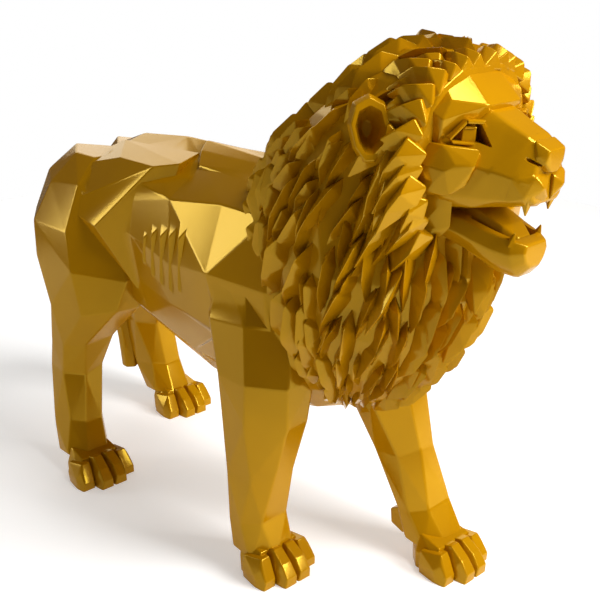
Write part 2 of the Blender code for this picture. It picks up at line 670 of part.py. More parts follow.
def hollows():
    """What is cut out of the cast: nostrils, mouth, eye sockets, ears and everything below the floor."""
    cuts = both_sides(NOSTRIL) + [jaw_bar(JAW[1:-1], JAW_HOLLOW)]
    for side in (1, -1):
        cuts += [eye_block(side, *EYE_SOCKET), eye_block(side, *EYE_CORNER), ear_block(side, EAR_HOLLOW)]
    floor = bmesh.new()
    bmesh.ops.create_cube(floor, size=4 * HEIGHT)
    bmesh.ops.translate(floor, verts=floor.verts, vec=(0, 0, -2 * HEIGHT))
    return cuts + [floor]


def inlays():
    """What is set into the hollows: tongue, eyes, lids and teeth."""
    blocks = [jaw_bar(TONGUE, JAW_CORNERS)]
    for side in (1, -1):
        blocks += [eye_block(side, *block) for block in (EYEBALL, EYEBALL_RIM, UPPER_LID, OUTER_LID, LOWER_LID)]
        blocks += [tooth(root, tip, half_width, side) for root, tip, half_width in TEETH]
    return blocks


def main():
    for old in list(bpy.data.objects):
        bpy.data.objects.remove(old)
    parts = bpy.data.collections.new("Faceted lion")
    bpy.context.scene.collection.children.link(parts)
    core = mane_core()
    locks = list(mane_locks(core)) + list(hair_line())
    body = object_of("lion", trunk(), parts)
    joined(body, body_blocks() + head_blocks() + [core] + locks, "UNION")
    joined(body, hollows(), "DIFFERENCE")
    joined(body, inlays(), "UNION")
    outer_skin(body)
    body.data.materials.clear()
    body.data.materials.append(paint())
    return settle(body)


if __name__ == "__main__":
    main()
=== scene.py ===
"""A life-size faceted lion in resin, cast in one piece and finished in golden ochre gloss paint.

Units are metres, Z is up and the lion looks along -Y, so its right side is -X.
"""

import json
import math
import random

import bmesh
import bpy
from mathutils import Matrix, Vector

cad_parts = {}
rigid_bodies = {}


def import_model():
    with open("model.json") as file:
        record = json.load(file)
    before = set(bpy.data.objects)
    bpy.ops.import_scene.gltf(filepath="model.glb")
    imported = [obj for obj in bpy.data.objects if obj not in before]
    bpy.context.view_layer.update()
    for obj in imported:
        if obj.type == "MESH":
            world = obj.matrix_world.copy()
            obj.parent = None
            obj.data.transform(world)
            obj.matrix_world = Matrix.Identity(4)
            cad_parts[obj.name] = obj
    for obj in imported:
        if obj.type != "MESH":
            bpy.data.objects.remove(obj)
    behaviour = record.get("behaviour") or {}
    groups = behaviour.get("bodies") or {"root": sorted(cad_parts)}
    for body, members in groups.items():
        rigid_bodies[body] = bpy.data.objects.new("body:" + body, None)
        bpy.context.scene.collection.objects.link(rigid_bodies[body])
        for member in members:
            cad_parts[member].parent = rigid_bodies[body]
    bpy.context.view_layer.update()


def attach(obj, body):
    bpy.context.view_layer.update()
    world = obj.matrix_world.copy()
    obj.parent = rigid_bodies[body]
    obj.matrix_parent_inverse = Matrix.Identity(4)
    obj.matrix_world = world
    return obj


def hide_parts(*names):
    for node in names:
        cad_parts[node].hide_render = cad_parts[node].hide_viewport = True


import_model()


# THE STUDIO
# A pale floor under soft boxes: a long one behind the back on the far side, one in front of the
# head, one behind the rump and a small one overhead, between walls that throw back little light.


def linear(hex_colour):
    """An sRGB hex colour as linear red, green, blue and alpha."""
    channels = [int(hex_colour[i : i + 2], 16) / 255 for i in (1, 3, 5)]
    return [c / 12.92 if c <= 0.04045 else ((c + 0.055) / 1.055) ** 2.4 for c in channels] + [1.0]


def add_node(tree, kind, settings=None, inputs=None):
    """A node with its settings and with a value or a feeding socket for each input."""
    node = tree.nodes.new(kind)
    for name, value in (settings or {}).items():
        setattr(node, name, value)
    for key, value in (inputs or {}).items():
        if isinstance(value, bpy.types.NodeSocket):
            tree.links.new(value, node.inputs[key])
        else:
            node.inputs[key].default_value = value
    return node


def soft_box(name, place, aim, size, watts):
    """A rectangular lamp, which the camera itself doesn't see."""
    lamp = bpy.data.lights.new(name, "AREA")
    lamp.shape = "RECTANGLE"
    lamp.size, lamp.size_y = size
    lamp.energy = watts
    holder = bpy.data.objects.new(name, lamp)
    holder.visible_camera = False
    holder.location = place
    holder.rotation_mode = "QUATERNION"
    holder.rotation_quaternion = (Vector(aim) - Vector(place)).to_track_quat("-Z", "Y")
    bpy.context.scene.collection.objects.link(holder)


soft_box("box_behind", place=(2.6, 3.4, 2.3), aim=(0, 0.2, 0.8), size=(4.4, 2.2), watts=62)
soft_box("box_head", place=(1.3, -3.3, 2.4), aim=(0, -0.5, 0.9), size=(1.8, 1.6), watts=188)
soft_box("box_rear", place=(-2.6, 3.6, 1.3), aim=(0, 0.5, 0.6), size=(0.8, 2.0), watts=38)
soft_box("box_overhead", place=(0.3, -1.6, 3.4), aim=(0, -0.5, 0.8), size=(1.0, 1.0), watts=60)

WALL_GLOW = 0.145  # what the lion gets from the walls, as a share of the white behind it
walls = bpy.data.worlds.new("studio_walls")
walls.use_nodes = True
walls.node_tree.nodes.clear()
path = add_node(walls.node_tree, "ShaderNodeLightPath")
felt = add_node(
    walls.node_tree,
    "ShaderNodeBackground",
    None,
    {"Color": linear("#FFF6E8"), "Strength": WALL_GLOW},
)
seen = add_node(
    walls.node_tree,
    "ShaderNodeBackground",
    None,
    {"Color": linear("#FFFFFF"), "Strength": 1.0},
)
both = add_node(
    walls.node_tree,
    "ShaderNodeMixShader",
    None,
    {0: path.outputs["Is Camera Ray"], 1: felt.outputs[0], 2: seen.outputs[0]},
)
add_node(walls.node_tree, "ShaderNodeOutputWorld", None, {"Surface": both.outputs[0]})
bpy.context.scene.world = walls
bpy.context.scene.view_settings.view_transform = "Standard"

# The floor is a matt white light table, lit a little from below so that it has no visible end.
FLOOR_HALF = 3.2
FLOOR_ROUGHNESS = 0.9
FLOOR_GLOW = 0.38
floor_paint = bpy.data.materials.new("white_studio_floor")
floor_paint.use_nodes = True
board = floor_paint.node_tree.nodes["Principled BSDF"]
board.inputs["Base Color"].default_value = linear("#E8E8E8")
board.inputs["Roughness"].default_value = FLOOR_ROUGHNESS
board.inputs["Specular IOR Level"].default_value = 0.0
board.inputs["Emission Color"].default_value = linear("#FFFFFF")
board.inputs["Emission Strength"].default_value = FLOOR_GLOW
floor_mesh = bpy.data.meshes.new("floor")
corners = [(x * FLOOR_HALF, y * FLOOR_HALF, 0) for x, y in ((-1, -1), (1, -1), (1, 1), (-1, 1))]
floor_mesh.from_pydata(corners, [], [(0, 1, 2, 3)])
floor_mesh.materials.append(floor_paint)
floor = bpy.data.objects.new("floor", floor_mesh)
bpy.context.scene.collection.objects.link(floor)

CAMERA_SENSOR = 36  # mm
CAMERA_LENS = 61.17  # mm
CAMERA_PLACE = (-1.467, -1.7154, 1.374)
CAMERA_AZIMUTH = math.radians(-43.631)
CAMERA_ELEVATION = math.radians(20.174)
optics = bpy.data.cameras.new("camera")
optics.sensor_width = CAMERA_SENSOR
optics.lens = CAMERA_LENS
camera = bpy.data.objects.new("camera", optics)
level = math.cos(CAMERA_ELEVATION)
backwards = Vector(
    (
        math.sin(CAMERA_AZIMUTH) * level,
        -math.cos(CAMERA_AZIMUTH) * level,
        math.sin(CAMERA_ELEVATION),
    )
)
camera.location = CAMERA_PLACE
camera.rotation_mode = "QUATERNION"
camera.rotation_quaternion = (-backwards).to_track_quat("-Z", "Y")
bpy.context.scene.collection.objects.link(camera)
bpy.context.scene.camera = camera


# TRUNK AND LEGS
# The body of the clay master that the mould was taken from: broad flat facets, cut with a wire
# and a knife, whose edges were rubbed round before casting.

UNIT = 0.01  # the tables are in centimetres at full size
MIDDLE_Y = 9.953  # the tables' origin lies this far in front of the middle of the lion
LOFT_ROUND = 0.0045  # how wide the rounding of an edge is on trunk, limbs, muzzle and jaw
BLOCK_ROUND = 0.0028  # and on the smaller blocks
FLAT_TURN = math.radians(1.0)  # triangles that turn less than this lie in one facet
EDGE_TURN = math.radians(2.5)  # an edge that turns less than this stays as it is


def scaled(point):
    return (Vector(point) + Vector((0, MIDDLE_Y, 0))) * UNIT


def eased(shape, width):
    """Make facets whole and round every edge between two of them."""
    bmesh.ops.recalc_face_normals(shape, faces=shape.faces)
    bmesh.ops.dissolve_limit(shape, angle_limit=FLAT_TURN, verts=shape.verts, edges=shape.edges)
    inner = [edge for edge in shape.edges if len(edge.link_faces) == 2]
    sharp = [edge for edge in inner if edge.calc_face_angle(0.0) > EDGE_TURN]
    bmesh.ops.bevel(
        shape,
        geom=sharp,
        offset=width,
        offset_type="OFFSET",
        segments=2,
        profile=0.5,
        affect="EDGES",
        clamp_overlap=True,
    )
    return shape


def hull(points):
    """A closed faceted block: the convex hull of a few corner points, with its edges eased."""
    shape = bmesh.new()
    for point in points:
        shape.verts.new(scaled(point))
    made = bmesh.ops.convex_hull(shape, input=shape.verts)
    left_over = made["geom_interior"] + made["geom_unused"]
    spare = {corner for corner in left_over if isinstance(corner, bmesh.types.BMVert)}
    bmesh.ops.delete(shape, geom=list(spare), context="VERTS")
    return eased(shape, BLOCK_ROUND)


def mirrored(points):
    """Corner points and their mirror images, those on the middle plane only once."""
    return list(points) + [(-x, y, z) for x, y, z in points if x]


def loft(rings, width=LOFT_ROUND):
    """A closed skin over rings of equal count, each quad split along the diagonal that bulges out."""
    shape = bmesh.new()
    rows = [[shape.verts.new(scaled(point)) for point in ring] for ring in rings]
    count = len(rows[0])
    for upper, lower in zip(rows, rows[1:]):
        axis = sum((corner.co for corner in upper + lower), Vector()) / (2 * count)
        for i in range(count):
            j = (i + 1) % count
            a, b, c, d = upper[i], upper[j], lower[j], lower[i]
            if ((a.co + c.co) / 2 - axis).length >= ((b.co + d.co) / 2 - axis).length:
                triangles = [(a, b, c), (a, c, d)]
            else:
                triangles = [(a, b, d), (b, c, d)]
            for triangle in triangles:
                shape.faces.new(triangle)
    shape.faces.new(rows[0])
    shape.faces.new(reversed(rows[-1]))
    return eased(shape, width) if width else shape


def level_ring(z, x, y, half_width, half_length, sides):
    """A level polygon round (x, y), whose flat sides face along the axes."""
    grow = 1 / math.cos(math.pi / sides)
    ring = []
    for i in range(sides):
        angle = 2 * math.pi * (i + 0.5) / sides
        across = half_width * grow * math.cos(angle)
        along = half_length * grow * math.sin(angle)
        ring.append((x + across, y + along, z))
    return ring


CUT_SEED = 4
BODY_UNEVENNESS = 1.7
LIMB_UNEVENNESS = 1.1
STRAY_HELD = 0.75  # how much of a corner's stray out of the surface is taken back
# Stations of the trunk as (y, height of the spine, height of the keel, half width)
TRUNK_STATIONS = [
    (60.0, 66.0, 52.0, 6.0),
    (55.0, 74.0, 46.0, 12.5),
    (46.0, 82.0, 44.0, 18.0),
    (30.0, 89.0, 45.0, 17.0),
    (12.0, 90.5, 39.5, 16.5),
    (-4.0, 90.5, 35.5, 18.5),
    (-22.0, 91.0, 35.0, 20.5),
    (-38.0, 92.0, 37.5, 20.0),
    (-54.0, 90.0, 44.0, 15.0),
]
# Half of its section from spine to keel, in shares of the half width and of the depth
TRUNK_SECTION = [
    (0.0, 0.0),
    (0.40, 0.07),
    (0.84, 0.17),
    (1.0, 0.42),
    (0.95, 0.62),
    (0.70, 0.83),
    (0.34, 0.97),
    (0.0, 1.0),
]
SPINE_RIDGE = [(0, 4, 90.6), (4, 1, 89.2), (8, -3, 87.0), (8.5, -44, 85.8), (4, -44, 89.4)]
SPINE_RIDGE += [(8, -3, 84), (8.5, -44, 80), (0, 4, 84)]
HAUNCH = [(10.5, 0.5, 87.1), (3.5, 2, 88.4), (3.5, 32, 87.2), (12, 22, 85.4), (12.6, 43, 80.2), (8, 51, 78)]
HAUNCH += [(13.5, 6.5, 86), (16.8, 17, 70.5), (19.6, 23.5, 69.5), (19, 38, 72), (14.2, 14, 54)]
HAUNCH += [(12, 50, 66), (4, 20, 60), (4, 45, 60)]
# Ribs as (y, height of the top, height of the bottom)
RIBS = [(6.0, 74.0, 60.0), (2.2, 75.5, 58.0), (-1.8, 76.0, 57.0), (-5.8, 77.0, 56.5), (-9.8, 77.5, 57.5)]
RIB_WIDTH = 4.2
RIB_STAND = 0.65
RIB_FOOT_SHARE = 0.98  # how far out the ridge is at its foot, as a share of that at its top
RIB_DEPTH = 2.6
RIB_LEAN = 1.2
# Stations of the limbs as (height, x, y, half width, half length)
RIGHT_HIND_LIMB = [
    (84.0, -6.5, 38.5, 5.0, 9.5),
    (77.0, -9.5, 39.0, 8.6, 14.8),
    (67.0, -10.8, 40.6, 10.8, 19.4),
    (57.0, -12.0, 37.6, 11.0, 20.8),
    (47.0, -14.0, 34.6, 9.2, 15.2),
    (36.5, -16.0, 38.8, 7.1, 8.8),
    (28.0, -17.1, 40.8, 6.0, 7.1),
    (14.0, -19.0, 38.6, 5.6, 6.5),
    (5.5, -20.0, 35.5, 5.8, 7.2),
]
LEFT_HIND_LIMB = [
    (84.0, -6.5, 39.0, 5.0, 9.5),
    (77.0, -9.5, 41.0, 9.0, 16.0),
    (67.0, -10.8, 42.5, 10.8, 19.0),
    (57.0, -12.0, 42.6, 11.0, 19.8),
    (47.0, -14.0, 46.0, 9.2, 16.0),
    (36.0, -16.4, 54.5, 7.3, 10.6),
    (28.0, -17.8, 58.6, 6.2, 8.4),
    (14.0, -19.3, 55.3, 5.7, 6.9),
    (5.5, -20.0, 51.5, 5.8, 7.2),
]
RIGHT_FORE_LIMB = [
    (72.0, -10.0, -26.0, 8.0, 9.0),
    (60.0, -12.4, -28.6, 10.0, 13.2),
    (49.0, -14.3, -32.2, 9.4, 11.3),
    (39.0, -15.0, -32.4, 8.4, 9.6),
    (26.0, -15.0, -30.6, 7.1, 8.2),
    (13.0, -15.0, -29.0, 5.9, 6.6),
    (5.0, -15.0, -31.0, 6.2, 6.8),
]
LEFT_FORE_LIMB = [
    (72.0, -10.0, -26.0, 8.0, 9.0),
    (60.0, -12.3, -29.8, 10.0, 13.0),
    (49.0, -13.8, -34.6, 9.4, 12.0),
    (39.0, -15.0, -39.8, 8.3, 10.0),
    (26.0, -15.8, -45.4, 6.6, 7.4),
    (13.0, -16.0, -51.4, 5.8, 6.0),
    (5.0, -15.6, -56.0, 6.2, 6.8),
]
LIMB_SIDES = 8


def uneven(rings, amount):
    """Rings whose corners stray by up to an amount, mostly along the surface and hardly out of it."""
    dice = random.Random(CUT_SEED)
    strayed = []
    for ring in rings:
        corners = [Vector(corner) for corner in ring]
        middle = sum(corners, Vector()) / len(corners)
        row = []
        for corner in corners:
            outwards = (corner - middle).normalized()
            stray = Vector([dice.uniform(-amount, amount) for _ in range(3)])
            row.append(corner + stray - outwards * stray.dot(outwards) * STRAY_HELD)
        strayed.append(row)
    return strayed


def limb(stations, side):
    """A leg of level rings, whose x is taken as it stands for side 1 and mirrored for side -1."""
    rings = [level_ring(z, side * x, y, hx, hy, LIMB_SIDES) for z, x, y, hx, hy in stations]
    return loft(uneven(rings, LIMB_UNEVENNESS))


def trunk():
    rings = []
    for y, spine, keel, half_width in TRUNK_STATIONS:
        depth = spine - keel
        half = [(half_width * across, y, spine - depth * down) for across, down in TRUNK_SECTION]
        rings.append(half + [(-x, y, z) for x, y, z in half[-2:0:-1]])
    return loft(uneven(rings, BODY_UNEVENNESS))


def trunk_half_width(y):
    for (back_y, _, _, back), (front_y, _, _, front) in zip(TRUNK_STATIONS, TRUNK_STATIONS[1:]):
        if front_y <= y <= back_y:
            return front + (back - front) * (y - front_y) / (back_y - front_y)
    return TRUNK_STATIONS[-1][3]


def ribs():
    """Narrow upright ridges on both flanks, leaning back a little as they go down."""
    ridges = []
    for y, top, bottom in RIBS:
        ridge = trunk_half_width(y) + RIB_STAND
        base = ridge - RIB_DEPTH
        for side in (-1, 1):
            points = [(side * ridge, y, top - RIB_WIDTH)]
            points.append((side * ridge * RIB_FOOT_SHARE, y + RIB_LEAN, bottom + RIB_WIDTH))
            for edge in (-1, 1):
                points.append((side * base, y + edge * RIB_WIDTH / 2, top))
                points.append((side * base, y + RIB_LEAN + edge * RIB_WIDTH / 2, bottom))
            ridges.append(hull(points))
    return ridges


blocks = [trunk(), limb(RIGHT_HIND_LIMB, 1), limb(LEFT_HIND_LIMB, -1)]
blocks += [limb(RIGHT_FORE_LIMB, 1), limb(LEFT_FORE_LIMB, -1), hull(mirrored(SPINE_RIDGE))]
blocks += [hull(HAUNCH), hull([(-x, y, z) for x, y, z in HAUNCH])] + ribs()


# PAWS
# Four toes to a paw, each with its knuckle, cut apart with a gouge, and the blunt pad behind
# each wrist. The soles are flat, because the cast was stood on a board and sanded.

RIGHT_FORE_PAW = (-14.8, -35.2)
LEFT_FORE_PAW = (15.0, -61.5)
RIGHT_HIND_PAW = (-20.5, 28.2)
LEFT_HIND_PAW = (20.5, 46.2)
PAW_WIDTH = 14.5
PAW_LENGTH = 16.0
PAW_HEIGHT = 8.0
TOES = 4
TOE_SPLAY = 0.7
OUTER_TOE_SHORTER = 2.9
OUTER_TOE_LOWER = 0.12
TOE_HALF = 0.55  # half a toe's width as a share of its room, so that neighbours overlap
SUNK = -0.12  # what reaches below the floor is cut away at the end
# Corners in shares: a toe's of its half width, the paw's length and height, a pad's of the paw's
TOE_FRONT = [(0.72, 0.0, 0.30), (0.66, 0.12, 0.64), (1.08, 0.20, 0.40), (0.92, 0.03, SUNK)]
TOE_FRONT += [(1.02, 0.19, SUNK)]
TOE_ROOT = [(0.62, -0.16, 0.95), (0.80, 0.19, 0.80), (1.10, 0.19, 0.38), (0.90, 0.19, SUNK)]
PAD = [(0.46, -0.06, SUNK), (0.47, -0.06, 0.52), (0.36, -0.06, 0.86), (0.42, 0.31, SUNK), (0.44, 0.31, 0.50)]
PAD += [(0.24, 0.50, SUNK), (0.26, 0.50, 0.45), (0.34, 0.31, 1.05)]
# The blunt pads behind the wrists, and the corners of one from its middle
WRIST_PADS = [(15.0, -49.8, 7.0), (-14.6, -26.8, 7.0)]
WRIST_PAD = [(2.6, 1.0, 3.6), (2.4, 4.6, 1.6), (2.2, 4.4, -2.2), (2.6, 0.5, -3.2), (3.0, -3.0, 0.0)]


def paw(place):
    """Toes with a knuckle each, spread a little, and the pad behind them, reaching below the floor."""
    x, y = place
    parts = []
    toe_width = PAW_WIDTH / TOES
    for k in range(TOES):
        share = (k - (TOES - 1) / 2) / ((TOES - 1) / 2)
        middle = x + share * (PAW_WIDTH - toe_width) / 2
        front = y - PAW_LENGTH / 2 + OUTER_TOE_SHORTER * share * share
        low = 1 - OUTER_TOE_LOWER * share * share
        points = []
        for s in (-1, 1):
            for across, along, up in TOE_FRONT:
                across = middle + TOE_SPLAY * share + s * across * toe_width * TOE_HALF
                points.append((across, front + along * PAW_LENGTH, up * low * PAW_HEIGHT))
            for across, along, up in TOE_ROOT:
                across = middle + s * across * toe_width * TOE_HALF
                points.append((across, y + along * PAW_LENGTH, up * low * PAW_HEIGHT))
        parts.append(hull(points))
    pad = [(s * across, along, up) for s in (-1, 1) for across, along, up in PAD]
    parts.append(hull([(x + a * PAW_WIDTH, y + b * PAW_LENGTH, c * PAW_HEIGHT) for a, b, c in pad]))
    return parts


def wrist_pad(place):
    x, y, z = place
    return hull([(x + s * across, y + along, z + up) for s in (-1, 1) for across, along, up in WRIST_PAD])


for place in (RIGHT_FORE_PAW, LEFT_FORE_PAW, RIGHT_HIND_PAW, LEFT_HIND_PAW):
    blocks += paw(place)
blocks += [wrist_pad(place) for place in WRIST_PADS]


# TAIL
# A six-sided tail that hangs down the rump and is joined to the inside of the left hock, which
# keeps a thin part of the cast from breaking.

# Stations as (x, y, height, half width, half thickness)
TAIL_PATH = [
    (0.0, 57.0, 72.0, 4.6, 4.2),
    (0.0, 64.0, 64.0, 4.2, 3.8),
    (1.0, 66.5, 54.0, 3.6, 3.4),
    (4.5, 66.0, 43.0, 3.0, 2.9),
    (9.5, 64.0, 33.0, 2.7, 2.7),
    (13.0, 62.5, 24.0, 2.7, 2.7),
    (13.8, 62.0, 11.0, 2.6, 2.6),
]
TAIL_SIDES = 6
TAIL_UNEVENNESS = 0.3
NEARLY_ALONG_Y = 0.9


def path_tube(path, sides):
    """A faceted tube along a path, its rings square to the path."""
    rings = []
    middles = [Vector(station[:3]) for station in path]
    for i, station in enumerate(path):
        ahead = middles[min(i + 1, len(path) - 1)] - middles[max(i - 1, 0)]
        ahead.normalize()
        aside = Vector((0, 1, 0)) if abs(ahead.y) < NEARLY_ALONG_Y else Vector((0, 0, 1))
        across = ahead.cross(aside).normalized()
        over = across.cross(ahead)
        ring = []
        for k in range(sides):
            angle = 2 * math.pi * (k + 0.5) / sides
            way = across * station[3] * math.cos(angle) + over * station[4] * math.sin(angle)
            ring.append(middles[i] + way)
        rings.append(ring)
    return loft(uneven(rings, TAIL_UNEVENNESS))


blocks.append(path_tube(TAIL_PATH, TAIL_SIDES))


# HEAD
# Muzzle, brow, cheeks, nose, whisker pads and the lower jaw, each a block of a few flat facets,
# then the sockets, nostrils and mouth that are cut back into them.

# On the head a place is (x, forwards of HEAD_Y, up from HEAD_Z).
HEAD_Y = -70.0
HEAD_Z = 100.0
# Rings of the muzzle: how far forwards, then half of the outline as (x, up)
MUZZLE = [
    (3.0, [(3.6, 8.5), (7.6, 5.4), (12.0, -0.5), (11.0, -6.5), (8.5, -9.0)]),
    (8.0, [(3.4, 8.1), (4.8, 6.6), (9.6, -0.4), (8.8, -6.4), (7.2, -8.6)]),
    (12.0, [(3.1, 6.2), (4.2, 4.8), (8.2, -1.2), (6.8, -6.5), (5.2, -8.0)]),
    (16.0, [(2.9, 4.4), (3.6, 3.4), (6.6, -2.2), (5.4, -6.4), (4.2, -7.4)]),
    (18.4, [(2.2, 2.8), (2.8, 1.6), (4.8, -2.8), (4.2, -5.8), (3.0, -6.8)]),
]
# Stations of the jaw as (forwards, half width, height of the top, height of the bottom)
JAW = [
    (1.0, 8.8, -10.0, -16.5),
    (6.0, 7.6, -11.0, -18.3),
    (11.0, 6.2, -12.6, -20.5),
    (15.0, 5.0, -13.6, -20.9),
    (17.2, 3.4, -14.2, -18.6),
]
JAW_CORNERS = [(0.86, 0.0), (1.0, 0.35), (0.82, 0.70), (0.42, 1.0)]  # shares of its half width and depth
JAW_HOLLOW = [(0.72, -0.9), (0.62, 0.18), (0.38, 0.36)]  # the mouth's floor, in the same shares
TONGUE = [
    (1.0, 4.2, -8.6, -13.5),
    (7.0, 4.0, -9.6, -14.5),
    (12.0, 3.4, -11.8, -16.0),
    (14.6, 2.0, -13.6, -16.6),
]
# Corners of the blocks that make up the rest of the head
BROW = [(10, 4.9, 10), (4.5, 8.6, 9), (8.5, 1, 14), (4, 2.5, 15), (0, 7.6, 9.2), (12.3, 2.4, 8.2)]
BROW += [(11.5, 4.4, 6.8), (10, -6, 12), (12, -6, 2), (11, 3, 1), (0, 5, 0)]
SKULL = [(6, 4, 14.6), (11.2, 3.4, 11.6), (14.6, 0.6, 9.6), (15.4, 0.8, -0.6), (14.0, 0.6, -7.5)]
SKULL += [(10, -1, -15), (9, -20, 6), (4, -7, 17.2), (3, 1, 16.2), (0, 4, 0)]
NOSE = [(2.9, 17.0, 4), (3.6, 18.2, 1.6), (2.4, 19.8, 2.6), (2.6, 19.4, 0.2), (1, 19.5, -1.4)]
NOSE += [(1.4, 18, -1.5), (3.4, 17.2, -0.4)]
WHISKER_PAD = [(0.6, 19, -2.2), (0.6, 18.9, -6), (4.4, 18.8, -1.6), (5.4, 17.4, -5.6), (6.8, 15.4, -2.4)]
WHISKER_PAD += [(6.2, 14, -6.6), (3, 19.8, -3.8), (1.2, 17.4, -7.6), (4.0, 17.0, -7.2), (4.4, 16, -0.6)]
WHISKER_PAD += [(1, 17.5, -1)]
CHEEK = [(9.9, 10.5, -0.4), (12.0, 7.8, -0.2), (13.0, 6.4, -1.4), (11.4, 6.4, -6.0), (9.7, 8.5, -4.2)]
CHEEK += [(8.0, 10.1, 2.1), (10.5, 6.4, 2.5), (12.0, 5.2, 2.8), (14.1, 2.6, -0.8), (13.3, 2.8, -5.6)]
CHEEK += [(6, 4, -2), (12, -3, 3), (12.5, -3, -7)]
MOUTH_CORNER = [(9.2, 5.6, -6), (9.2, 4.0, -9.4), (8.2, 4.6, -12.5), (11.6, 0, -5), (10.6, -1, -14)]
MOUTH_CORNER += [(5, -1, -9), (8.0, 2.4, -15)]
NOSTRIL = [(4.6, 16.4, 1.6), (4.9, 16.4, 0.7), (3.0, 20.2, -0.4), (2.8, 20.0, -1.0), (2.2, 17.0, 0.6)]
# Teeth as root, tip and half width at the root, once on each side
TEETH = [
    ((3.6, 16.8, -6.0), (3.4, 16.6, -9.0), 1.2),
    ((3.9, 14.4, -14.6), (3.9, 15.2, -12.2), 1.1),
]
TOOTH_SIDES = 5
TOOTH_POINT = 0.15
EYE_MIDDLE = (7.7, 7.5, 4.4)
EYE_INWARDS = (-0.856, 0.514, -0.068)  # the way along the face from the outer to the inner corner
# Blocks at the eye: outline as (inwards, up), then how far out of the face they begin and end
EYE_SOCKET = ([(-3.3, -1.2), (-0.7, 1.8), (1.9, 1.9), (2.9, -1.6)], -1.9, 5.0)
EYE_CORNER = ([(1.4, 1.9), (2.0, 1.9), (3.2, -1.9), (1.6, -1.5)], -4.0, 5.0)
EYEBALL = ([(-1.4, -1.6), (-1.3, 1.2), (1.2, 1.2), (1.3, -1.6)], -2.4, -0.5)
EYEBALL_RIM = ([(-1.2, 0.7), (-1.2, 1.2), (1.1, 1.2), (1.1, 0.7)], -1.6, -0.1)
UPPER_LID = ([(-0.9, 1.7), (2.0, 1.7), (2.3, 2.4), (-1.1, 2.4)], -1.2, 0.6)
OUTER_LID = ([(-3.6, -1.2), (-0.9, 1.7), (-1.1, 2.4), (-3.9, -0.9)], -1.2, 0.4)
LOWER_LID = ([(-3.5, -1.2), (1.6, -1.6), (1.5, -2.1), (-3.2, -1.8)], -1.2, 0.45)
EAR_MIDDLE = (18.4, 6.2, 4.6)  # x, backwards of HEAD_Y, up
EAR_FACING = (0.62, -0.76, 0.12)
EAR_WIDTH = 9.2
EAR_HEIGHT = 12.5
EAR_DEPTH = 3.6
EAR_SIDES = 9
EAR_LEAF = 0.40  # how much narrower the ear is towards its foot
EAR_RINGS = [(1.0, 0.1), (0.88, 0.7), (0.6, -1.0)]  # share of its outline, share of EAR_DEPTH outwards
EAR_HOLLOW = [(0.76, 1.1), (0.55, 0.0), (0.25, -0.6)]


def on_head(points):
    """Places on the head, turned to the tables' own x, y and z."""
    return [(x, HEAD_Y - f, HEAD_Z + u) for x, f, u in points]


def both_sides(points):
    """The same block on the right and on the left of the head."""
    return [hull(on_head(points)), hull(on_head([(-x, f, u) for x, f, u in points]))]


def head_ring(f, half):
    """A ring across the head from half of its outline, as (x, u)."""
    return on_head([(x, f, u) for x, u in half] + [(-x, f, u) for x, u in reversed(half)])


def jaw_bar(stations, corners):
    """A bar along the jaw, whose corners are shares of its half width and of its depth."""
    rings = []
    for f, half_width, top, bottom in stations:
        half = [(half_width * across, top + (bottom - top) * down) for across, down in corners]
        rings.append(head_ring(f, half))
    return loft(rings)


def tooth(root, tip, half_width, side):
    """A thin cone with a few sides, from its root to its tip."""
    root, tip = [Vector(on_head([(side * p[0], p[1], p[2])])[0]) for p in (root, tip)]
    along = (tip - root).normalized()
    across = along.orthogonal().normalized()
    over = along.cross(across)
    points = []
    for k in range(TOOTH_SIDES):
        angle = 2 * math.pi * k / TOOTH_SIDES
        way = across * math.cos(angle) + over * math.sin(angle)
        points += [root + way * half_width, tip + way * TOOTH_POINT]
    return hull(points)


def eye_block(side, outline, inner, outer):
    """A prism on the plane of the eye, between two depths out of the face."""
    middle = Vector(on_head([EYE_MIDDLE])[0])
    inwards = Vector((EYE_INWARDS[0], -EYE_INWARDS[1], EYE_INWARDS[2])).normalized()
    upwards = (Vector((0, 0, 1)) - inwards * inwards.z).normalized()
    outwards = upwards.cross(inwards)
    points = []
    for depth in (inner, outer):
        points += [middle + inwards * along + upwards * up + outwards * depth for along, up in outline]
    return hull([(side * x, y, z) for x, y, z in points])


def ear_block(side, rings):
    """A leaf-shaped block from rings of (share of the ear's outline, share of its depth outwards)."""
    x, back, up = EAR_MIDDLE
    middle = Vector((x, HEAD_Y + back, HEAD_Z + up))
    facing = Vector(EAR_FACING).normalized()
    across = facing.cross(Vector((0, 0, 1))).normalized()
    upwards = across.cross(facing)
    points = []
    for share, depth in rings:
        for k in range(EAR_SIDES):
            angle = 2 * math.pi * k / EAR_SIDES + math.pi / 2
            leaf = 1 - EAR_LEAF * (1 - math.sin(angle)) / 2
            wide = across * math.cos(angle) * leaf * EAR_WIDTH / 2
            high = upwards * math.sin(angle) * EAR_HEIGHT / 2
            points.append(middle + (wide + high) * share + facing * depth * EAR_DEPTH)
    return hull([(side * x, y, z) for x, y, z in points])


blocks.append(loft([head_ring(f, half) for f, half in MUZZLE]))
blocks += [hull(on_head(mirrored(corners))) for corners in (BROW, SKULL, NOSE)]
blocks += both_sides(WHISKER_PAD) + both_sides(CHEEK) + both_sides(MOUTH_CORNER)
blocks += [jaw_bar(JAW, JAW_CORNERS)] + [ear_block(side, EAR_RINGS) for side in (1, -1)]


# MANE
# Over four hundred pointed locks of clay, pressed on like thatch from the face back over the neck
# and down the chest, each a ridge with two flat flanks, over a plain solid neck.

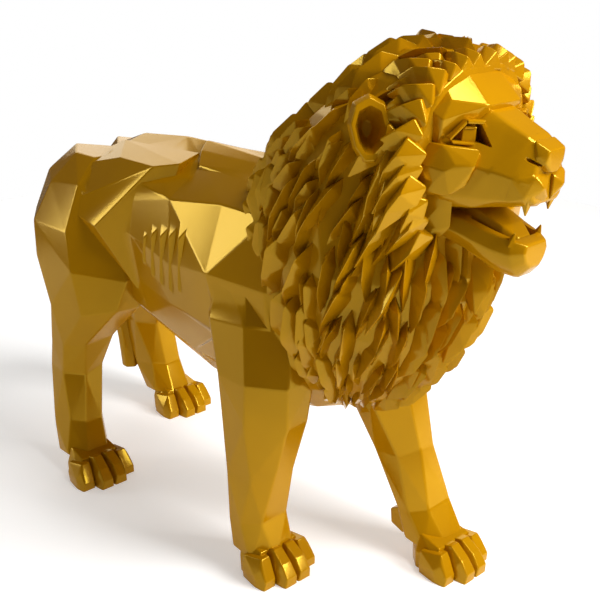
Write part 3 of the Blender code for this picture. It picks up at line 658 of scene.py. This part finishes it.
# Rings of the neck as (height, y, half width, half length)
MANE_CORE = [
    (43.0, -47.0, 5.0, 6.5),
    (47.0, -47.5, 10.5, 11.5),
    (54.0, -48.5, 15.5, 16.5),
    (64.0, -49.8, 19.0, 20.8),
    (76.0, -49.8, 21.0, 24.4),
    (88.0, -48.5, 20.5, 24.5),
    (97.0, -51.7, 19.0, 21.8),
    (105.0, -57.0, 17.2, 16.5),
    (112.3, -61.0, 12.8, 11.5),
    (117.2, -63.0, 6.5, 6.0),
]
CORE_SIDES = 14
FACE = (15.5, -3.0, 16.0, -17.0)  # where no lock stands: half width, back, top and foot
EAR_CLEARANCE = 0.55  # nor nearer to an ear than this share of its width

workshop = bpy.data.collections.new("blocks")
bpy.context.scene.collection.children.link(workshop)


def object_of(name, shape, collection):
    mesh = bpy.data.meshes.new(name)
    shape.to_mesh(mesh)
    shape.free()
    made = bpy.data.objects.new(name, mesh)
    collection.objects.link(made)
    return made


def clear_of_face(place):
    """Whether a lock may stand here, off the bare face and off the ears."""
    half_width, back, top, foot = FACE
    f = HEAD_Y - place.y
    u = place.z - HEAD_Z
    if foot < u < top and abs(place.x) < half_width and f > back:
        return False
    x, back, up = EAR_MIDDLE
    ear = Vector((math.copysign(x, place.x), HEAD_Y + back, HEAD_Z + up))
    return (place - ear).length > EAR_WIDTH * EAR_CLEARANCE


core_rings = [level_ring(z, 0, y, hx, hy, CORE_SIDES) for z, y, hx, hy in MANE_CORE]
blocks.append(loft(core_rings))

LOCK_VARIANTS = 4
LOCK_SHAPE_SEED = 5
LOCK_LEAN = 0.22
LOCK_ROUND = 0.035  # a share of its size, as the corners below are of its width, length and relief
COARSE_LOCK = {"Lock Length": 0.175, "Lock Width": 0.038, "Lock Relief": 0.062, "Spacing": 0.032, "Seed": 3}
FINE_LOCK = {"Lock Length": 0.130, "Lock Width": 0.028, "Lock Relief": 0.050, "Spacing": 0.033, "Seed": 8}
ALONG_SHARE = 0.42  # locks stand this much closer across the flow than along it
MOST_LOCKS = 4000.0  # in a square metre, before the spacing thins them out
CROWN_SLOPES = (0.5, 0.95)  # how far the neck faces up where locks thin out, and where they are fewest
CROWN_DENSITY = 0.45
CROWN_HEIGHT = 1.17  # where locks are shortest
CHEST_HEIGHT = 0.86  # and where they reach their full length
CROWN_LOCK_SHARE = 0.62
FOOT_HEIGHTS = (0.42, 0.62)  # below the second height they shorten again, down to the first
FOOT_LOCK_SHARE = 0.55
LOCK_SIZES = (0.8, 1.2)  # smallest and largest, by chance
LOCK_STRAYS = ((-0.10, -0.18, -0.26), (0.05, 0.18, 0.26))  # radians of dip, roll and turn, from and to
LOCK_PARTING = (0.0, -74.0, 108.0)
LOCK_WEIGHT = 0.80  # how far a lock turns down from its way out from the parting

lock_shapes = bpy.data.collections.new("lock_shapes")
bpy.context.scene.collection.children.link(lock_shapes)
dice = random.Random(LOCK_SHAPE_SEED)
for number in range(LOCK_VARIANTS):
    lean = dice.uniform(-LOCK_LEAN, LOCK_LEAN)
    shape = bmesh.new()
    for point in (
        (0.0, -0.45, -0.45),
        (lean, 0.55, -0.08),
        (0.5, dice.uniform(-0.20, -0.06), -0.12),
        (-0.5, dice.uniform(-0.14, 0.02), -0.12),
        (lean * 0.6 + 0.30, 0.26, -0.10),
        (lean * 0.6 - 0.30, 0.30, -0.10),
        (lean * 0.3, -0.20, 0.50),
        (lean * 1.1, 0.22, dice.uniform(0.38, 0.54)),
        (0.0, 0.0, -0.90),
    ):
        shape.verts.new(point)
    bmesh.ops.convex_hull(shape, input=shape.verts)
    object_of("lock_%d" % number, eased(shape, LOCK_ROUND), lock_shapes)

thatch = bpy.data.node_groups.new("mane_thatch", "GeometryNodeTree")
sockets = {}
for name, kind in (
    ("Geometry", "NodeSocketGeometry"),
    ("Lock Length", "NodeSocketFloat"),
    ("Lock Width", "NodeSocketFloat"),
    ("Lock Relief", "NodeSocketFloat"),
    ("Spacing", "NodeSocketFloat"),
    ("Seed", "NodeSocketInt"),
):
    sockets[name] = thatch.interface.new_socket(name=name, in_out="INPUT", socket_type=kind)
thatch.interface.new_socket(name="Geometry", in_out="OUTPUT", socket_type="NodeSocketGeometry")
given = add_node(thatch, "NodeGroupInput")
place = add_node(thatch, "GeometryNodeInputPosition")
slope = add_node(thatch, "GeometryNodeInputNormal")
up = add_node(thatch, "ShaderNodeSeparateXYZ", None, {0: slope.outputs[0]})
density = add_node(
    thatch,
    "ShaderNodeMapRange",
    None,
    {
        "Value": up.outputs["Z"],
        "From Min": CROWN_SLOPES[0],
        "From Max": CROWN_SLOPES[1],
        "To Min": 1.0,
        "To Max": CROWN_DENSITY,
    },
)
squat = add_node(
    thatch,
    "GeometryNodeTransform",
    None,
    {"Geometry": given.outputs["Geometry"], "Scale": (1, 1, ALONG_SHARE)},
)
scatter = add_node(
    thatch,
    "GeometryNodeDistributePointsOnFaces",
    {"distribute_method": "POISSON"},
    {
        "Mesh": squat.outputs[0],
        "Distance Min": given.outputs["Spacing"],
        "Density Max": MOST_LOCKS,
        "Density Factor": density.outputs["Result"],
        "Seed": given.outputs["Seed"],
    },
)
roots = add_node(
    thatch,
    "GeometryNodeTransform",
    None,
    {"Geometry": scatter.outputs["Points"], "Scale": (1, 1, 1 / ALONG_SHARE)},
)
outwards = add_node(
    thatch,
    "GeometryNodeSampleNearestSurface",
    {"data_type": "FLOAT_VECTOR"},
    {"Mesh": given.outputs["Geometry"], "Value": slope.outputs[0], "Sample Position": place.outputs[0]},
)
away = add_node(
    thatch,
    "ShaderNodeVectorMath",
    {"operation": "SUBTRACT"},
    {0: place.outputs[0], 1: scaled(LOCK_PARTING)},
)
unit_away = add_node(thatch, "ShaderNodeVectorMath", {"operation": "NORMALIZE"}, {0: away.outputs[0]})
flow = add_node(
    thatch,
    "ShaderNodeVectorMath",
    {"operation": "ADD"},
    {0: unit_away.outputs[0], 1: (0, 0, -LOCK_WEIGHT)},
)
stood = add_node(
    thatch,
    "FunctionNodeAlignRotationToVector",
    {"axis": "Z"},
    {"Vector": outwards.outputs["Value"]},
)
combed = add_node(
    thatch,
    "FunctionNodeAlignRotationToVector",
    {"axis": "Y", "pivot_axis": "Z"},
    {"Rotation": stood.outputs[0], "Vector": flow.outputs[0]},
)
stray = add_node(
    thatch,
    "FunctionNodeRandomValue",
    {"data_type": "FLOAT_VECTOR"},
    {"Min": LOCK_STRAYS[0], "Max": LOCK_STRAYS[1], "Seed": given.outputs["Seed"]},
)
strayed = add_node(
    thatch,
    "FunctionNodeRotateRotation",
    {"rotation_space": "LOCAL"},
    {"Rotation": combed.outputs[0], "Rotate By": stray.outputs[0]},
)
height = add_node(thatch, "ShaderNodeSeparateXYZ", None, {0: place.outputs[0]})
growth = add_node(
    thatch,
    "ShaderNodeMapRange",
    None,
    {
        "Value": height.outputs["Z"],
        "From Min": CHEST_HEIGHT,
        "From Max": CROWN_HEIGHT,
        "To Min": 1.0,
        "To Max": CROWN_LOCK_SHARE,
    },
)
# Inputs 2 and 3 and output 1 are the node's plain numbers, which share their names with vectors.
chance = add_node(
    thatch,
    "FunctionNodeRandomValue",
    {"data_type": "FLOAT"},
    {2: LOCK_SIZES[0], 3: LOCK_SIZES[1], "Seed": given.outputs["Seed"]},
)
foot = add_node(
    thatch,
    "ShaderNodeMapRange",
    None,
    {
        "Value": height.outputs["Z"],
        "From Min": FOOT_HEIGHTS[0],
        "From Max": FOOT_HEIGHTS[1],
        "To Min": FOOT_LOCK_SHARE,
    },
)
grown = add_node(
    thatch,
    "ShaderNodeMath",
    {"operation": "MULTIPLY"},
    {0: growth.outputs["Result"], 1: chance.outputs[1]},
)
size = add_node(
    thatch,
    "ShaderNodeMath",
    {"operation": "MULTIPLY"},
    {0: grown.outputs[0], 1: foot.outputs["Result"]},
)
spread = add_node(
    thatch,
    "ShaderNodeCombineXYZ",
    None,
    {0: given.outputs["Lock Width"], 1: given.outputs["Lock Length"], 2: given.outputs["Lock Relief"]},
)
scale = add_node(
    thatch,
    "ShaderNodeVectorMath",
    {"operation": "SCALE"},
    {0: spread.outputs[0], "Scale": size.outputs[0]},
)
shards = add_node(
    thatch,
    "GeometryNodeCollectionInfo",
    None,
    {"Collection": lock_shapes, "Separate Children": True, "Reset Children": True},
)
laid = add_node(
    thatch,
    "GeometryNodeInstanceOnPoints",
    None,
    {
        "Points": roots.outputs[0],
        "Instance": shards.outputs[0],
        "Pick Instance": True,
        "Rotation": strayed.outputs[0],
        "Scale": scale.outputs[0],
    },
)
real = add_node(thatch, "GeometryNodeRealizeInstances", None, {"Geometry": laid.outputs[0]})
gloss = bpy.data.materials.new("golden_gloss_gel_coat")
painted = add_node(
    thatch,
    "GeometryNodeSetMaterial",
    None,
    {"Geometry": real.outputs[0], "Material": gloss},
)
add_node(thatch, "NodeGroupOutput", None, {"Geometry": painted.outputs[0]})


def thatched(seat, lock):
    """The locks of one layer as loose closed shards."""
    layer = seat.modifiers.new("thatch", "NODES")
    layer.node_group = thatch
    for name, value in lock.items():
        layer[sockets[name].identifier] = value
    bpy.context.view_layer.update()
    whole = bpy.data.meshes.new_from_object(seat.evaluated_get(bpy.context.evaluated_depsgraph_get()))
    seat.modifiers.remove(layer)
    return whole


SEAT_CUTS = 3  # fine enough that the bare face has a clean edge
skin = loft(core_rings, 0)
bmesh.ops.subdivide_edges(skin, edges=skin.edges, cuts=SEAT_CUTS, use_grid_fill=True)
bmesh.ops.recalc_face_normals(skin, faces=skin.faces)
bare = []
for face in skin.faces:
    if not clear_of_face(face.calc_center_median() / UNIT - Vector((0, MIDDLE_Y, 0))):
        bare.append(face)
bmesh.ops.delete(skin, geom=bare, context="FACES")
seat = object_of("mane_seat", skin, workshop)
layers = [thatched(seat, COARSE_LOCK), thatched(seat, FINE_LOCK)]
bpy.data.objects.remove(seat)

# The tufts round the face are larger locks, laid one by one along the hair line.
MODEL_HEIGHT = 120  # the lion's height in the tables' units
TUFT_ROOT_DEPTH = 2.6
HAIR_LINE = [(2.1, 4.0, 15.4), (6.2, 4.0, 15.2), (9.8, 3.8, 13.8), (12.8, 3.4, 11.4), (15.0, 2.8, 8.2)]
HAIR_LINE += [(16.2, 2.4, 4.4), (16.2, 2.4, 0.4), (15.6, 2.4, -3.8), (14.4, 2.4, -8.2), (12.6, 2.2, -12.8)]
# Corners of a tuft in shares: of its length along, of its width across and out
TUFT_CORNERS = [(0.0, 0.42, -0.25), (0.0, -0.42, -0.25), (0.0, 0.1, 0.30), (0.32, 0.5, -0.30)]
TUFT_CORNERS += [(0.32, -0.5, -0.30), (0.30, -0.08, 0.42), (0.62, -0.02, 0.30), (1.0, 0.0, -0.22)]
TUFT_OUTWARDS = 0.30
TUFT_BACK = (0.95, 0.45)  # how far a tuft points back at the top of the hair line and at its foot
TUFT_UP = (0.16, -0.95)  # and how far up


def shard(place, normal, flow, length, width, corners):
    """A ridged block lying on the neck along its flow, which never stands above the lion's height."""
    across = flow.cross(normal).normalized()
    points = []
    for along, wide, up in corners:
        points.append(place + flow * length * along + across * width * wide + normal * width * up)
    points.append(place + flow * length * (corners[0][0] + corners[-1][0]) / 2 - normal * TUFT_ROOT_DEPTH)
    over = max(0.0, max(point.z for point in points) - MODEL_HEIGHT)
    return hull([point - Vector((0, 0, over)) for point in points])


TUFT_SEED = 2
TUFTS = 13
TUFT_ROWS = [(0.0, 0.0, 13.0, 5.6), (4.0, 0.8, 15.0, 5.0)]  # how far back, how far out, length, width
CROWN_TUFT_SHARE = 0.62
TUFT_STRAY = 0.20
TUFT_DROP = 1.7  # the foot's way is reached this much sooner than the foot
TUFT_FACING = 0.3  # how far a tuft's outer side looks forwards
TUFT_LENGTHS = (0.8, 1.15)  # shortest and longest, by chance
TUFT_WIDTHS = (0.75, 1.15)


def hair_line():
    """Two staggered rows of tufts round the face, each swept outwards and back over the neck."""
    dice = random.Random(TUFT_SEED)
    top, foot = HAIR_LINE[0][2], HAIR_LINE[-1][2]
    for row, (set_back, set_out, length, width) in enumerate(TUFT_ROWS):
        for k in range(TUFTS - row):
            along = (k + row / 2) / (TUFTS - 1) * (len(HAIR_LINE) - 1)
            before = min(int(along), len(HAIR_LINE) - 2)
            x, f, u = Vector(HAIR_LINE[before]).lerp(Vector(HAIR_LINE[before + 1]), along - before)
            fall = min(1.0, TUFT_DROP * (top - u) / (top - foot))
            back = TUFT_BACK[0] + (TUFT_BACK[1] - TUFT_BACK[0]) * fall
            up = TUFT_UP[0] * (1 - 2 * row) + (TUFT_UP[1] - TUFT_UP[0]) * fall
            for side in (1, -1):
                stray = Vector([dice.uniform(-TUFT_STRAY, TUFT_STRAY) for _ in range(3)])
                out = side * TUFT_OUTWARDS * x / HAIR_LINE[-1][0]
                flow = (Vector((out, back, up)) + stray).normalized()
                normal = Vector((side * x, -x * TUFT_FACING, u - foot / 2)).normalized()
                normal = (normal - flow * normal.dot(flow)).normalized()
                place = Vector(on_head([(side * x, f - set_back, u)])[0]) + normal * set_out
                grown = CROWN_TUFT_SHARE + (1 - CROWN_TUFT_SHARE) * fall
                long = length * grown * dice.uniform(*TUFT_LENGTHS)
                wide = width * dice.uniform(*TUFT_WIDTHS)
                yield shard(place, normal, flow, long, wide, TUFT_CORNERS)


blocks += list(hair_line())


# THE CAST
# All of it leaves the mould as one closed shell. The blocks are united here, the hollows cut,
# and the tongue, eyes, lids and teeth set in.


def joined(body, tools, operation):
    """Join or cut away a set of closed blocks, which may overlap one another."""
    for number, block in enumerate(tools):
        if isinstance(block, bmesh.types.BMesh):
            object_of("block_%03d" % number, block, workshop)
        else:
            workshop.objects.link(bpy.data.objects.new("block_%03d" % number, block))
    change = body.modifiers.new(operation.lower(), "BOOLEAN")
    change.operation = operation
    change.solver = "EXACT"
    change.use_self = operation == "UNION"
    change.operand_type = "COLLECTION"
    change.collection = workshop
    bpy.context.view_layer.update()
    whole = bpy.data.meshes.new_from_object(body.evaluated_get(bpy.context.evaluated_depsgraph_get()))
    body.modifiers.remove(change)
    body.data = whole
    for spare in list(workshop.objects):
        bpy.data.objects.remove(spare)


def outer_skin(body):
    """Keep the largest skin alone, so that no pocket stays shut up inside the cast."""
    shape = bmesh.new()
    shape.from_mesh(body.data)
    left = set(shape.verts)
    skins = []
    while left:
        queue = [left.pop()]
        skin = list(queue)
        while queue:
            corner = queue.pop()
            near = {edge.other_vert(corner) for edge in corner.link_edges} & left
            left -= near
            queue += near
            skin += near
        skins.append(skin)
    skins.sort(key=len)
    for skin in skins[:-1]:
        bmesh.ops.delete(shape, geom=skin, context="VERTS")
    shape.to_mesh(body.data)
    shape.free()


cast = object_of("lion_cast", blocks[0], bpy.context.scene.collection)
joined(cast, blocks[1:] + layers, "UNION")

SOLE_CUT = 4.0  # edge of the cube below the floor that cuts the soles flat
cuts = both_sides(NOSTRIL) + [jaw_bar(JAW[1:-1], JAW_HOLLOW)]
for side in (1, -1):
    cuts += [eye_block(side, *EYE_SOCKET), eye_block(side, *EYE_CORNER), ear_block(side, EAR_HOLLOW)]
sole_cut = bmesh.new()
bmesh.ops.create_cube(sole_cut, size=SOLE_CUT)
bmesh.ops.translate(sole_cut, verts=sole_cut.verts, vec=(0, 0, -SOLE_CUT / 2))
joined(cast, cuts + [sole_cut], "DIFFERENCE")

inlays = [jaw_bar(TONGUE, JAW_CORNERS)]
eye_parts = (EYEBALL, EYEBALL_RIM, UPPER_LID, OUTER_LID, LOWER_LID)
for side in (1, -1):
    inlays += [eye_block(side, *block) for block in eye_parts]
    inlays += [tooth(root, tip, half_width, side) for root, tip, half_width in TEETH]
joined(cast, inlays, "UNION")
outer_skin(cast)

CREASE = math.radians(38)  # a sharper edge is a crease between two blocks
FACET_WEIGHT = 80  # the large flat facets rule the shading of the rounding between them
for polygon in cast.data.polygons:
    polygon.use_smooth = True
shape = bmesh.new()
shape.from_mesh(cast.data)
for edge in shape.edges:
    edge.smooth = len(edge.link_faces) == 2 and edge.calc_face_angle(0.0) < CREASE
shape.to_mesh(cast.data)
shape.free()
facing = cast.modifiers.new("flat_facets", "WEIGHTED_NORMAL")
facing.mode = "FACE_AREA_WITH_ANGLE"
facing.weight = FACET_WEIGHT
facing.keep_sharp = True

# Gloss paint: a golden ochre two-pack gel coat, sprayed over the cast and polished. The eye sees
# a hard gloss with a yellow lustre, the faint orange peel of sprayed paint in its highlights, and
# a colour that is a touch browner where the coat lies thinner.
PAINT_IOR = 1.18  # lower than a clear coat's 1.5, so that white lamps and floor don't bleach it
LUSTRE_SHARE = 0.10
LUSTRE_ROUGHNESS = 0.15
CLOUD_SIZE = 0.22
CLOUD_RANGE = (0.3, 0.7)  # the noise values between which the colour and the polish go over
POLISH = (0.20, 0.13)  # the roughness where the coat is thin and where it is full
PEEL_SIZE = 0.0035
PEEL_DEPTH = 0.00006
gloss.use_nodes = True
surface = gloss.node_tree.nodes["Principled BSDF"]
surface.inputs["IOR"].default_value = PAINT_IOR
lustre = add_node(
    gloss.node_tree,
    "ShaderNodeBsdfGlossy",
    None,
    {"Color": linear("#FFD428"), "Roughness": LUSTRE_ROUGHNESS},
)
whole = add_node(
    gloss.node_tree,
    "ShaderNodeMixShader",
    None,
    {0: LUSTRE_SHARE, 1: surface.outputs[0], 2: lustre.outputs[0]},
)
output = gloss.node_tree.nodes["Material Output"]
gloss.node_tree.links.new(whole.outputs[0], output.inputs["Surface"])
spot = add_node(gloss.node_tree, "ShaderNodeTexCoord")
cloud = add_node(
    gloss.node_tree,
    "ShaderNodeTexNoise",
    None,
    {"Vector": spot.outputs["Object"], "Scale": 1 / CLOUD_SIZE, "Detail": 3.0},
)
tone = add_node(gloss.node_tree, "ShaderNodeValToRGB", None, {"Fac": cloud.outputs["Fac"]})
for stop, position, colour in zip(tone.color_ramp.elements, CLOUD_RANGE, ("#9E6C02", "#AA7702")):
    stop.position = position
    stop.color = linear(colour)
gloss.node_tree.links.new(tone.outputs["Color"], surface.inputs["Base Color"])
polish = add_node(
    gloss.node_tree,
    "ShaderNodeMapRange",
    None,
    {
        "Value": cloud.outputs["Fac"],
        "From Min": CLOUD_RANGE[0],
        "From Max": CLOUD_RANGE[1],
        "To Min": POLISH[0],
        "To Max": POLISH[1],
    },
)
gloss.node_tree.links.new(polish.outputs["Result"], surface.inputs["Roughness"])
peel = add_node(
    gloss.node_tree,
    "ShaderNodeTexNoise",
    None,
    {"Vector": spot.outputs["Object"], "Scale": 1 / PEEL_SIZE, "Detail": 1.0},
)
relief = add_node(
    gloss.node_tree,
    "ShaderNodeBump",
    None,
    {"Height": peel.outputs["Fac"], "Strength": 1.0, "Distance": PEEL_DEPTH},
)
for shader in (surface, lustre):
    gloss.node_tree.links.new(relief.outputs["Normal"], shader.inputs["Normal"])
cast.data.materials.clear()
cast.data.materials.append(gloss)

for shelf in (lock_shapes, workshop):
    for spare in list(shelf.objects):
        bpy.data.objects.remove(spare)
    bpy.data.collections.remove(shelf)

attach(cast, "root")
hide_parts("lion")
